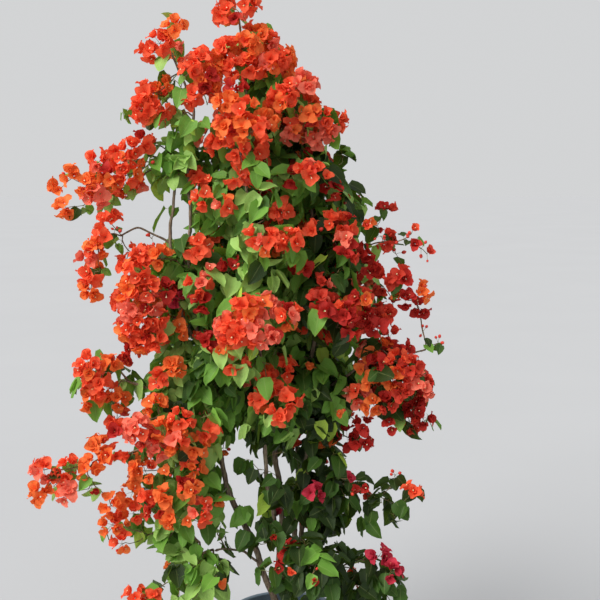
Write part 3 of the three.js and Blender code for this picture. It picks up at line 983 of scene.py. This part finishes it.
# A leaf is broad near its foot and drawn out to a point. A bract is rounder, with a blunt tip. An outline
# has its rows of points, its half width, the powers that place its widest part and round it off, how
# much it narrows to its tip, and the waves of its rim
Outline = namedtuple("Outline", "rows half_width place_power round_power narrowing waves")
LEAF = Outline((0.08, 0.30, 0.62, 0.88), 0.40, 0.62, 0.72, narrowing=0.12, waves=9)
BRACT = Outline((0.08, 0.30, 0.56, 0.80, 0.95), 0.50, 0.85, 0.42, narrowing=0, waves=11)
BLADE_COLUMNS = np.array([-1, -0.5, 0, 0.5, 1])
BEND_WIDTH = 0.42
LOBE_SPREAD = 1.5
LOBE_FADE = 5
FOLD_FADE = 0.3
CUP_DEPTH = 0.5
CUP_ALONG = 1.6
FLARE_POWER = 2.4
CRINKLE_POWER = 1.5
CRINKLE_SHIFT = 2
TILE_MARGIN = 0.04
MOST_TRIANGLES = 190000


def blade(outline, back, bend):
    """A blade's vertices, triangles and place on its tile. It grows along Y with its face to +Z.

    back tells how far its lobes reach behind its foot, and bend gives its height from its place
    across and along.
    """
    rows = outline.rows
    along, side = np.meshgrid(rows, BLADE_COLUMNS, indexing="ij")
    width = outline.half_width * np.sin(np.pi * along**outline.place_power) ** outline.round_power
    x = side * (width * (1 - outline.narrowing * along))
    y = along - back * np.abs(side) ** LOBE_SPREAD * (1 - along) ** LOBE_FADE
    middle = np.stack([x, y, bend(side, along)], 2).reshape(-1, 3)
    vertices = np.concatenate([middle, [[0, 0, bend(0, 0)], [0, 1, bend(0, 1)]]])
    on_tile = [0.5 + (0.5 - TILE_MARGIN) * side, TILE_MARGIN + (1 - 2 * TILE_MARGIN) * along]
    place = np.stack(on_tile, 2).reshape(-1, 2)
    place = np.concatenate([place, [[0.5, TILE_MARGIN / 2], [0.5, 1 - TILE_MARGIN / 2]]])
    wide = len(BLADE_COLUMNS)
    triangles = []
    for low in range((len(rows) - 1) * wide):
        if (low + 1) % wide:
            triangles += [[low, low + 1, low + wide + 1], [low, low + wide + 1, low + wide]]
    foot, last = len(rows) * wide, (len(rows) - 1) * wide
    for column in range(wide - 1):
        triangles += [[foot, column + 1, column], [foot + 1, last + column, last + column + 1]]
    return vertices, np.array(triangles), place


def leaf(back, fold, droop, ripple, phase, twist):
    """A leaf folded along its midrib, with a hanging tip, a rippled rim and a twist."""
    def bend(side, along):
        height = fold * np.abs(side) * BEND_WIDTH * (1 - FOLD_FADE * along) - droop * along**2
        return height + ripple * np.sin(LEAF.waves * along + phase) * side**2 + twist * side * along
    return blade(LEAF, back, bend)


def bract(back, cup, flare, ripple, phase):
    """A bract cupped round its bloom, with a tip that flares out and a crinkled rim."""
    def bend(side, along):
        hollow = side**2 * BEND_WIDTH + CUP_ALONG * along * (1 - along)
        wave = np.sin(BRACT.waves * along + phase + CRINKLE_SHIFT * np.sign(side))
        height = cup * hollow * CUP_DEPTH - flare * along**FLARE_POWER
        return height + ripple * wave * np.abs(side) ** CRINKLE_POWER
    return blade(BRACT, back, bend)


LEAF_SHAPES = [
    leaf(back=0.10, fold=0.30, droop=0.10, ripple=0.020, phase=0.0, twist=0.02),
    leaf(back=0.12, fold=0.18, droop=0.22, ripple=0.030, phase=1.3, twist=-0.06),
    leaf(back=0.06, fold=0.42, droop=0.04, ripple=0.015, phase=2.6, twist=0.05),
    leaf(back=0.10, fold=-0.12, droop=0.26, ripple=0.035, phase=4.1, twist=0.03),
    leaf(back=0.12, fold=0.60, droop=0.16, ripple=0.020, phase=5.0, twist=-0.02),
]
BRACT_SHAPES = [
    bract(back=0.04, cup=0.62, flare=0.10, ripple=0.090, phase=0.0),
    bract(back=0.02, cup=0.44, flare=0.26, ripple=0.120, phase=1.4),
    bract(back=0.05, cup=0.85, flare=0.02, ripple=0.075, phase=2.7),
    bract(back=0.03, cup=0.55, flare=0.34, ripple=0.140, phase=4.2),
]


class Spray:
    """Blades of one tone that wait to be placed, by shape."""

    def __init__(self, shapes):
        self.shapes = shapes
        self.waiting = [[] for _ in shapes]

    def add(self, foot, way, face, length):
        """A blade: its foot, the way it grows, the way it faces and its length."""
        self.waiting[rng.integers(len(self.shapes))].append((foot, way, face, length))

    def place_blades(self, batch, shape, rows):
        vertices, triangles, place = shape
        feet, ways, faces, lengths = (np.array(column) for column in zip(*rows))
        faces = across(ways, faces)
        turn = np.stack([np.cross(ways, faces), ways, faces], 2)
        copies = np.einsum("nij,vj->nvi", turn, vertices) * lengths[:, None, None] + feet[:, None]
        offsets = np.arange(len(feet))[:, None, None] * len(vertices)
        tile = rng.integers(0, TILES, (len(feet), 2))
        corners = (place[triangles.ravel()][None] + tile[:, None]) / TILES
        batch.add(copies.reshape(-1, 3), (triangles + offsets).reshape(-1, 3), corners.reshape(-1, 2))

    def pieces(self, name, material, slot, replaced):
        """One piece, or several numbered ones where there are many blades."""
        total = sum(len(rows) * len(shape[1]) for shape, rows in zip(self.shapes, self.waiting))
        parts = math.ceil(total / MOST_TRIANGLES)
        for part in range(parts):
            batch = Batch()
            for shape, rows in zip(self.shapes, self.waiting):
                if rows[part::parts]:
                    self.place_blades(batch, shape, rows[part::parts])
            batch.piece(f"{name}_{part + 1}" if parts > 1 else name, material, slot, replaced)


# Tones, dealt out by spray: a leaf's colour, and a bract's colour and the deeper one at its foot. By place,
# lighter tones stand for painted light on the lit left and front, and darker ones for painted shade inside,
# on the right and low in the middle, over tones that differ at random

LEAF_TONES = {
    "light": colour(144, 180, 92),
    "mid": colour(100, 145, 55),
    "dark": colour(50, 82, 27),
    "deep": colour(26, 45, 14),
    "young": colour(152, 180, 66),
}
BRACT_TONES = {
    "orange": (colour(255, 135, 67), colour(254, 86, 39)),
    "scarlet": (colour(255, 108, 68), colour(253, 68, 42)),
    "coral": (colour(255, 136, 110), colour(254, 94, 72)),
    # coral darkened as painted shade, for the heads on the shaded right
    "shaded_coral": (colour(230, 80, 58), colour(194, 46, 37)),
    "red": (colour(204, 52, 42), colour(158, 28, 28)),
    "crimson": (colour(206, 58, 78), colour(158, 26, 46)),
}
LIT_LEAVES = {"light": 0.32, "mid": 0.48, "dark": 0.10, "deep": 0.02, "young": 0.012}
SHADED_LEAVES = {"light": 0.0, "mid": 0.05, "dark": 0.36, "deep": 0.95, "young": 0.004}
# Bract shares on the lit left and on the right, whose redder, darker tones are partly painted shade
LEFT_BRACTS = {"orange": 0.38, "scarlet": 0.44, "coral": 0.16, "shaded_coral": 0.0, "red": 0.05}
RIGHT_BRACTS = {"orange": 0.06, "scarlet": 0.14, "coral": 0.04, "shaded_coral": 0.45, "red": 0.60}
CRIMSON_SHARE = 0.45
RIGHT_SHADE = 0.75
INSIDE_SHADE = 0.70

# Where the tones change over from painted light to painted shade: in metres to the right, back or up, from no
# change to a whole one
DARKER_RIGHT = (-0.10, 0.20)
DARKER_INSIDE = (-0.02, 0.10)
DARKER_DOWN = (1.12, 0.92)
MIDDLE_FROM_LEFT = (-0.20, -0.10)
BACK_LAYER = 0.16
REDDER_RIGHT = (0.02, 0.32)
REDDER_DOWN = (1.00, 0.85)
CRIMSON_DOWN = (0.95, 0.65)


def deal(one, other, share):
    """A name out of two tables of shares, blended."""
    weights = np.array([(1 - share) * one[name] + share * other[name] for name in one])
    return list(one)[rng.choice(len(weights), p=weights / weights.sum())]


def leaf_tone(place):
    """Painted light on the left and in front, painted shade inside, on the right and low in the middle:
    lighter or darker leaves dealt by place.
    """
    right = ramp(place[0], *DARKER_RIGHT)
    low = ramp(place[2], *DARKER_DOWN) * ramp(place[0], *MIDDLE_FROM_LEFT)
    inside = ramp(place[1], *DARKER_INSIDE) * (place[1] < BACK_LAYER)
    return deal(LIT_LEAVES, SHADED_LEAVES, max(RIGHT_SHADE * right, low, INSIDE_SHADE * inside) ** 2)


def bract_tone(place):
    """Orange-red in painted light on the left; redder and darker on the right and low in the middle, partly
    own colour, partly painted shade; crimson low on the right.
    """
    right = ramp(place[0], *REDDER_RIGHT)
    if rng.random() < CRIMSON_SHARE * right * ramp(place[2], *CRIMSON_DOWN):
        return "crimson"
    low = ramp(place[2], *REDDER_DOWN) * ramp(place[0], *MIDDLE_FROM_LEFT)
    return deal(LEFT_BRACTS, RIGHT_BRACTS, max(right, low))


# Leaves and blooms on the shoots

LEAF_GAP = 0.026
LEAF_GAP_UNDER_BLOOMS = 0.044
LEAF_GAP_SPREAD = (0.7, 1.3)
FIRST_LEAF = (0.35, 1.0)
LEAF_LENGTH = (0.050, 0.094)
LEAF_TAPER = 0.25
TIP_LEAF_LENGTH = (0.040, 0.072)
LEAF_STALK_LENGTH = (0.18, 0.34)
LEAF_FACE_PULLS = (0.95, 0.42, 0.42)
LEAF_HANG_PULLS = (0.75, 0.55, 0.65)
LEAF_STALK_PULLS = (0.7, 0.25, 0.5)
SIDE_LEAF_PULLS = (0.9, 0.7)
SIDE_WANDER = 0.35
TIP_LEAF_PULLS = (1.0, 0.7)
SPRAY_TONE_SHARE = 0.75
YOUNG_TIP_SHARE = 0.05
STALK_RADII = 0.0006 * np.array([1.15, 1.0, 0.9])
STALK_ARCH = 0.0012
STALK_SIDES = 3

# Bracts, as they open from the bloom's axis, and the small tubes among them
BRACT_LENGTH = (0.026, 0.034)
BRACT_SPACING = 0.0015
BRACT_LENGTH_SPREAD = (0.9, 1.1)
BRACT_TURN = 0.12
BRACT_OPENING = (0.40, 0.95)
BRACT_TILT = 0.16
DOUBLE_SHARE = 0.5
INNER_OPENING = 0.4
INNER_TILT = 0.12
INNER_LENGTH = 0.72
TUBE_SHARE = 0.4
TUBE_LENGTH = (0.45, 0.60)
TUBE_LEAN = 0.1
TUBE_MOUTH = 0.0020
TUBE_RADII = (0.0007, 0.0010, 0.0011, 0.0025)
TUBE_SIDES = 5

# Heads: blooms and buds round the end of a shoot, and how far round them leaves are kept away
SINGLE_SIZE = 0.78
PAIR_SIZE = 0.88
HEAD_TONE_SHARE = 0.8
HEAD_WAY_PULLS = (0.85, 0.2, 0.1)
FULLNESS = 1.3
DOME = 0.007
DOME_PER_BLOOM = 0.0026
DOME_SPREAD = (0.65, 1.1)
BLOOM_SPREAD = 0.95
BLOOM_GAP = 0.015
BLOOM_TRIES = 14
BUD_SHARE = 0.25
BUDS_ALONE = 3
BUD_REACH = (0.003, 0.012)
BUD_LENGTH = (0.009, 0.015)
BUD_RISES = np.array([0, 0.18, 0.5, 0.8, 1.0])
BUD_RADII = np.array([0.12, 0.34, 0.42, 0.30, 0.06])
BUD_SIDES = 6
BARE_PX = 4.0
BARE_PX_PER_BLOOM = 2.5
BARE_POWER = 0.75
BARE_BEHIND = 0.01

leaf_sprays = {tone: Spray(LEAF_SHAPES) for tone in LEAF_TONES}
bract_sprays = {tone: Spray(BRACT_SHAPES) for tone in BRACT_TONES}
stalks, flower_tubes, buds = Batch(), Batch(), Batch()
heads_across, heads_down, heads_ahead = shown_at(head_places)
heads_reach = np.array([BARE_PX + BARE_PX_PER_BLOOM * head.blooms**BARE_POWER for head in FRONT_HEADS])


def hides_a_head(place):
    """Whether a place lies before one of the heads that the camera sees."""
    across_px, down_px, ahead = shown_at(place)
    near = np.hypot(heads_across - across_px, heads_down - down_px) < heads_reach
    return bool((near & (ahead < heads_ahead + BARE_BEHIND)).any())


def grow_stalk(start, end):
    line = np.array([start, (start + end) / 2 + UP * STALK_ARCH, end])
    stalks.add(*tube(line, STALK_RADII, STALK_SIDES))


def grow_leaf(foot, way_out, tone, size):
    """A leaf on its stalk: it faces out and up, and its tip hangs."""
    face = leaning(LEAF_FACE_PULLS, way_out, UP, any_direction())
    way = across(face, leaning(LEAF_HANG_PULLS, -UP, way_out, any_direction()))
    stalk_way = leaning(LEAF_STALK_PULLS, way_out, UP, any_direction())
    blade_foot = foot + stalk_way * size * rng.uniform(*LEAF_STALK_LENGTH)
    heart = blade_foot + way * 0.5 * size
    if hides_a_head(heart) or in_an_opening(heart):
        return
    grow_stalk(foot, blade_foot)
    leaf_sprays[tone].add(blade_foot, way, face, size)


def grow_bract(foot, axis, side, angle, tilt, tone, size):
    """One bract, turned round the bloom's axis, tilted away from it and facing it."""
    radial = side * math.cos(angle) + np.cross(axis, side) * math.sin(angle)
    way = axis * math.cos(tilt) + radial * math.sin(tilt)
    face = axis * math.sin(tilt) - radial * math.cos(tilt)
    bract_sprays[tone].add(foot + radial * BRACT_SPACING, way, face, size)


def grow_bloom(foot, axis, tone, size):
    """Three broad papery bracts round their axis, some with three more inside or a small cream tube."""
    side = across(axis, any_direction())
    opening = rng.uniform(*BRACT_OPENING)
    turn = any_angle()
    double = rng.random() < DOUBLE_SHARE
    for third in range(3):
        angle = turn + third * TURN / 3 + rng.normal(0, BRACT_TURN)
        tilt = opening + rng.normal(0, BRACT_TILT)
        grow_bract(foot, axis, side, angle, tilt, tone, size * rng.uniform(*BRACT_LENGTH_SPREAD))
        if double:
            tilt = INNER_OPENING * opening + rng.normal(0, INNER_TILT)
            grow_bract(foot, axis, side, angle + math.pi / 3, tilt, tone, INNER_LENGTH * size)
    if rng.random() < TUBE_SHARE:
        top = foot + axis * size * rng.uniform(*TUBE_LENGTH) + side * size * TUBE_LEAN
        line = np.array([foot, (foot + top) / 2, top, top + axis * TUBE_MOUTH])
        flower_tubes.add(*tube(line, TUBE_RADII, TUBE_SIDES))


def grow_bud(foot, axis, size):
    """A round young bud of folded bracts."""
    line = foot + axis * (BUD_RISES * size)[:, None]
    buds.add(*tube(line, BUD_RADII * size, BUD_SIDES))


def grow_head(tip, end):
    """A rounded head of blooms on short stalks at the end of a shoot, whose last heading is end."""
    tone = tip.tone or bract_tone(tip.place)
    out = leaning(HEAD_WAY_PULLS, tip.way, end, UP)
    blooms = round(FULLNESS * tip.blooms)
    dome = DOME + DOME_PER_BLOOM * blooms
    crowding = {1: SINGLE_SIZE, 2: PAIR_SIZE}.get(blooms, 1.0)
    placed = []
    for _ in range(blooms):
        for _ in range(BLOOM_TRIES):
            axis = unit(out + BLOOM_SPREAD * any_direction())
            foot = tip.place + axis * dome * rng.uniform(*DOME_SPREAD)
            if not placed or gap_to(placed, foot) > BLOOM_GAP:
                break
        placed.append(foot)
        grow_stalk(tip.place, foot)
        bloom_tone = tone if rng.random() < HEAD_TONE_SHARE else bract_tone(tip.place)
        grow_bloom(foot, axis, bloom_tone, crowding * rng.uniform(*BRACT_LENGTH))
    for _ in range(int(rng.random() < BUD_SHARE) if blooms else BUDS_ALONE):
        axis = unit(out + any_direction())
        foot = tip.place + axis * (dome + rng.uniform(*BUD_REACH))
        grow_stalk(tip.place, foot)
        grow_bud(foot, axis, rng.uniform(*BUD_LENGTH))


def grow_side_leaves(tip, line, headings, tone):
    """Leaves by turns on either side of a shoot."""
    lengths = lengths_along(line)
    gap = LEAF_GAP if tip.blooms is None else LEAF_GAP_UNDER_BLOOMS
    at = rng.uniform(*FIRST_LEAF) * gap
    side = any_direction()
    while at < lengths[-1]:
        point = points_along(line, lengths, at)
        side = across(headings[np.searchsorted(lengths, at)], -side + SIDE_WANDER * any_direction())
        way_out = leaning(SIDE_LEAF_PULLS, tip.way, side)
        size = tip.leaf_size * rng.uniform(*LEAF_LENGTH) * (1.0 - LEAF_TAPER * at / lengths[-1])
        grow_leaf(point, way_out, tone if rng.random() < SPRAY_TONE_SHARE else leaf_tone(point), size)
        at += gap * rng.uniform(*LEAF_GAP_SPREAD)


def grow_tip_leaves(tip, tone):
    """The pair of leaves at the end of a leafy shoot."""
    for _ in range(2):
        way_out = leaning(TIP_LEAF_PULLS, tip.way, any_direction())
        leaf_tone_here = "young" if rng.random() < YOUNG_TIP_SHARE else tone
        grow_leaf(tip.place, way_out, leaf_tone_here, tip.leaf_size * rng.uniform(*TIP_LEAF_LENGTH))


for tip, line, headings, _ in shoots:
    spray_tone = leaf_tone(tip.place)
    grow_side_leaves(tip, line, headings, spray_tone)
    if tip.blooms is None:
        grow_tip_leaves(tip, spray_tone)
    else:
        grow_head(tip, headings[-1])

old_skin = skin_material("old_shoot", colour(96, 74, 54), colour(126, 104, 76))
young_skin = skin_material("young_shoot", colour(98, 104, 58), colour(122, 92, 62))
stalk_skin = skin_material("stalk", colour(118, 138, 70), colour(146, 120, 72))
old_wood.piece("twigs_old", old_skin, "bark")
young_wood.piece("twigs_young", young_skin, "bark")
stalks.piece("leaf_stalks", stalk_skin, "leaf")
for tone, tint in LEAF_TONES.items():
    leaf_sprays[tone].pieces(f"leaves_{tone}", leaf_material(f"leaf_{tone}", tint), "leaf", LEAF_MASSES)
for tone, (tint, deep) in BRACT_TONES.items():
    material = bract_material(f"bract_{tone}", tint, deep)
    bract_sprays[tone].pieces(f"bracts_{tone}", material, "bract", BLOOM_MASSES)
cream = skin_material("flower_cream", colour(245, 236, 200), colour(226, 190, 128))
flower_tubes.piece("flower_tubes", cream, "bract")
buds.piece("bloom_buds", skin_material("bud_red", colour(214, 58, 34), colour(184, 40, 30)), "bract")

# The pot and its compost

POT_WALL = 0.010
POT_FLOOR = 0.016
POT_BAND = 0.036
POT_BAND_STEP = 0.007
POT_BAND_SLOPE = 0.005
POT_FOOT_SHARE = 138 / 185
POT_ROUNDING = 0.0035
ROUNDINGS_PER_SIDE = 2.2
ROUNDING_STEPS = 4
POT_SIDES = 128
COMPOST_SHARES = np.linspace(0.985, 0.03, 30)
COMPOST_EDGE = 0.001
COMPOST_CHAMFER = 0.006
COMPOST_BUMPS = 0.0011
CRUMBS = 420
CRUMB_SIZE = (0.0018, 0.0060)
CRUMB_MARGIN = 0.03
CRUMB_AREAS = (0.09, 1)
CRUMB_RISE = 0.0012
CRUMB_SPREAD = (1, 1, 0.25)
CRUMB_ENDS = np.array([-1, -0.5, 0.4, 1])
CRUMB_RADII = np.array([0.25, 0.75, 0.6, 0.2])
CRUMB_THICKNESS = (0.5, 0.9)
CRUMB_SIDES = 5

pot_low, pot_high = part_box("pot")
soil_low, soil_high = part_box("soil")
RIM_RADIUS = (pot_high.x - pot_low.x) / 2
FOOT_RADIUS = RIM_RADIUS * POT_FOOT_SHARE
UNDER_BAND = RIM_RADIUS - POT_BAND_STEP
INNER_RIM = UNDER_BAND - POT_WALL
INNER_FOOT = FOOT_RADIUS - POT_WALL
SOIL_RADIUS = (soil_high.x - soil_low.x) / 2


def circles(rows):
    """Rings about the upright axis, one for each row of a radius and a height."""
    radii, heights = np.array(rows).T[:, :, None]
    angles = ring_angles(POT_SIDES)
    return np.stack([radii * np.cos(angles), radii * np.sin(angles), heights + 0 * angles], 2)


def rounded(corners):
    """An outline with each inner corner rounded."""
    corners = np.array(corners, float)
    outline = [corners[0]]
    for before, corner, after in zip(corners, corners[1:], corners[2:]):
        first, last = (
            corner + unit(end - corner) * min(POT_ROUNDING, np.linalg.norm(end - corner) / ROUNDINGS_PER_SIDE)
            for end in (before, after)
        )
        for share in np.linspace(0, 1, ROUNDING_STEPS):
            outline.append((1 - share) ** 2 * first + 2 * share * (1 - share) * corner + share**2 * last)
    outline.append(corners[-1])
    return np.array(outline)


def pot():
    """The tapered pot with its rim band, from the middle of its underside to the middle of its floor."""
    band_foot = pot_high.z - POT_BAND
    outline = rounded([
        (0, 0), (FOOT_RADIUS, 0), (UNDER_BAND, band_foot), (RIM_RADIUS, band_foot + POT_BAND_SLOPE),
        (RIM_RADIUS, pot_high.z), (INNER_RIM, pot_high.z), (INNER_FOOT, POT_FLOOR), (0, POT_FLOOR),
    ])
    return closed(circles(outline[1:-1]), [0, 0, 0], [0, 0, POT_FLOOR])


def compost():
    """The crumbly top of the compost over a plain plug."""
    edge = [
        (INNER_FOOT - COMPOST_EDGE, soil_low.z),
        (SOIL_RADIUS - COMPOST_EDGE, soil_high.z - COMPOST_CHAMFER),
    ]
    top = circles([(SOIL_RADIUS * share, soil_high.z) for share in COMPOST_SHARES])
    top += rng.normal(0, COMPOST_BUMPS, top.shape)
    return closed(np.concatenate([circles(edge), top]), [0, 0, soil_low.z], [0, 0, soil_high.z])


def crumbs():
    """Crumbs and bark chips scattered over the compost."""
    batch = Batch()
    for _ in range(CRUMBS):
        angle = any_angle()
        reach = (INNER_RIM - CRUMB_MARGIN) * math.sqrt(rng.uniform(*CRUMB_AREAS))
        middle = np.array([reach * math.cos(angle), reach * math.sin(angle), soil_high.z + CRUMB_RISE])
        size = rng.uniform(*CRUMB_SIZE)
        way = unit(any_direction() * CRUMB_SPREAD)
        line = middle + way * (CRUMB_ENDS * size)[:, None]
        batch.add(*tube(line, CRUMB_RADII * size * rng.uniform(*CRUMB_THICKNESS), CRUMB_SIDES))
    return batch


dark_compost = compost_material()
mesh_piece("pot_shell", *pot(), pot_material(), "pot", ["pot"])
mesh_piece("compost", *compost(), dark_compost, "soil", ["soil"])
crumbs().piece("compost_crumbs", dark_compost, "soil")

# The studio

FLOOR_REACH = 80.0
BUSH_HEART = (-0.08, 0.0, 1.25)
WORLD_COLOUR = (0.90, 0.91, 0.92, 1)
WORLD_STRENGTH = 0.72

# The lights: the place that each shines from, its softness in degrees, its strength and its tint
LIGHTS = {
    "key": ((-3.5, -2.2, 4.5), 50, 4.2, (1.0, 0.99, 0.97)),
    "fill": ((3.0, -2.6, 2.2), 80, 0.15, (0.95, 0.975, 1.0)),
}


def make_floor():
    mesh = bpy.data.meshes.new("studio_floor")
    corners = [(x * FLOOR_REACH, y * FLOOR_REACH, 0) for x, y in ((-1, -1), (1, -1), (1, 1), (-1, 1))]
    mesh.from_pydata(corners, [], [(0, 1, 2, 3)])
    mesh.materials.append(floor_material())
    floor = in_scene("studio_floor", mesh)


def soft_light(name, place, softness, strength, tint):
    """A broad even light that shines from a place towards the bush."""
    data = bpy.data.lights.new(name, "SUN")
    data.angle = math.radians(softness)
    data.energy = strength
    data.color = tint
    lamp = in_scene(name, data)
    lamp.location = place
    lamp.rotation_euler = (Vector(BUSH_HEART) - Vector(place)).to_track_quat("-Z", "Y").to_euler()


def make_camera():
    data = bpy.data.cameras.new("camera")
    data.sensor_width = CAMERA_SENSOR
    data.lens = CAMERA_LENS
    camera = in_scene("camera", data)
    camera.location = CAMERA_PLACE
    camera.rotation_euler = (math.pi / 2 - CAMERA_DOWN, 0, 0)
    bpy.context.scene.camera = camera


def make_world():
    world = bpy.data.worlds.new("studio")
    world.use_nodes = True
    background = world.node_tree.nodes["Background"]
    background.inputs["Color"].default_value = WORLD_COLOUR
    background.inputs["Strength"].default_value = WORLD_STRENGTH
    bpy.context.scene.world = world
    bpy.context.scene.view_settings.view_transform = "Standard"


make_floor()
make_camera()
make_world()
for light_name, light in LIGHTS.items():
    soft_light(light_name, *light)
